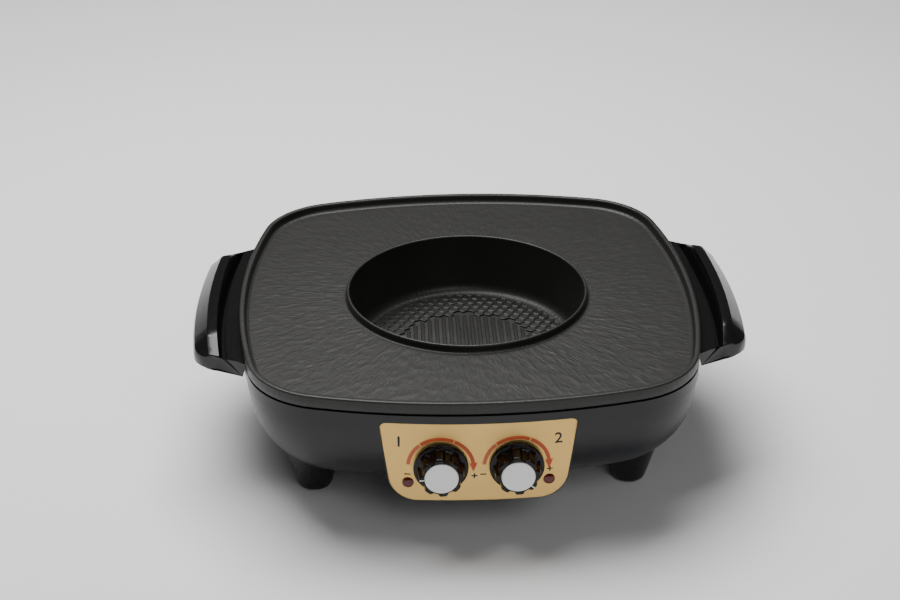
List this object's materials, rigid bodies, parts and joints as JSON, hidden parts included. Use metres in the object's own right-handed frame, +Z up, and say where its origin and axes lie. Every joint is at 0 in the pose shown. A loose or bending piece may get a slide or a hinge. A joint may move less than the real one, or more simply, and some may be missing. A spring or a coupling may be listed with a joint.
{
  "type": "countertop hot pot and grill cooker",
  "caption": "Low square table cooker: black cast plate with a round sunken pot well, bowl body on feet, side handles, and a gold front panel with turning knobs.",
  "frame": {"origin": "on the table under the middle of the whole cooker's box", "axes": "+X to the right, +Y to the back (the control panel faces -Y), +Z up"},
  "size_m": [0.4568, 0.3944, 0.1332],
  "materials": {
    "plate_coating": "hammered non-stick coating on cast aluminium",
    "body_plastic": "satin moulded",
    "handle_plastic": "polished phenolic",
    "foot_plastic": "moulded, semi gloss",
    "panel_metal": "brushed champagne anodised",
    "knob_plastic": "polished dark brown",
    "cap_metal": "satin, spun",
    "pointer_white": "inlaid",
    "lamp_red": "clear dyed",
    "lamp_body": "moulded",
    "steel": "zinc plated",
    "zinc_steel": "zinc plated sheet",
    "heater_tube": "annealed",
    "shield_metal": "mill finish sheet",
    "thermostat_case": "steatite",
    "block_plastic": "moulded",
    "fuse_case": "drawn",
    "inlet_plastic": "moulded",
    "pin_brass": "nickel plated",
    "pad_rubber": "moulded",
    "wire_sleeve": "glass-braid sleeve"
  },
  "bodies": {
    "base": {"body_shell": "body_plastic", "bottom_cover": "zinc_steel", "bracket_screws": "steel", "control_panel": "panel_metal", "cover_screws": "steel", "foot_screws": "steel", "front_left_foot": "foot_plastic", "front_left_foot_pad": "pad_rubber", "front_right_foot": "foot_plastic", "front_right_foot_pad": "pad_rubber", "fuse_clip": "zinc_steel", "grill_heater": "heater_tube", "grill_heater_clamps": "zinc_steel", "grill_pan": "plate_coating", "handle_screws": "steel", "heat_shield": "shield_metal", "inlet_pins": "pin_brass", "inlet_screws": "steel", "left_handle": "handle_plastic", "left_lamp_body": "lamp_body", "left_lamp_lens": "lamp_red", "left_thermostat": "thermostat_case", "pan_screws": "steel", "pot_heater": "heater_tube", "pot_heater_clamps": "zinc_steel", "power_inlet": "inlet_plastic", "rear_left_foot": "foot_plastic", "rear_left_foot_pad": "pad_rubber", "rear_right_foot": "foot_plastic", "rear_right_foot_pad": "pad_rubber", "right_handle": "handle_plastic", "right_lamp_body": "lamp_body", "right_lamp_lens": "lamp_red", "right_thermostat": "thermostat_case", "terminal_block": "block_plastic", "thermal_fuse": "fuse_case", "thermostat_bracket": "zinc_steel", "wiring": "wire_sleeve"},
    "left_dial": {"left_knob": "knob_plastic", "left_knob_cap": "cap_metal", "left_pointer": "pointer_white", "left_shaft": "steel"},
    "right_dial": {"right_knob": "knob_plastic", "right_knob_cap": "cap_metal", "right_pointer": "pointer_white", "right_shaft": "steel"}
  },
  "joints": [
    {"name": "left_dial_turn", "type": "hinge", "parent": "base", "child": "left_dial", "pos_m": [-0.0289, -0.17985, 0.076], "axis": [0, -1, 0], "range_deg": [-225, 35]},
    {"name": "right_dial_turn", "type": "hinge", "parent": "base", "child": "right_dial", "pos_m": [0.0289, -0.17985, 0.076], "axis": [0, -1, 0], "range_deg": [0, 260]}
  ]
}
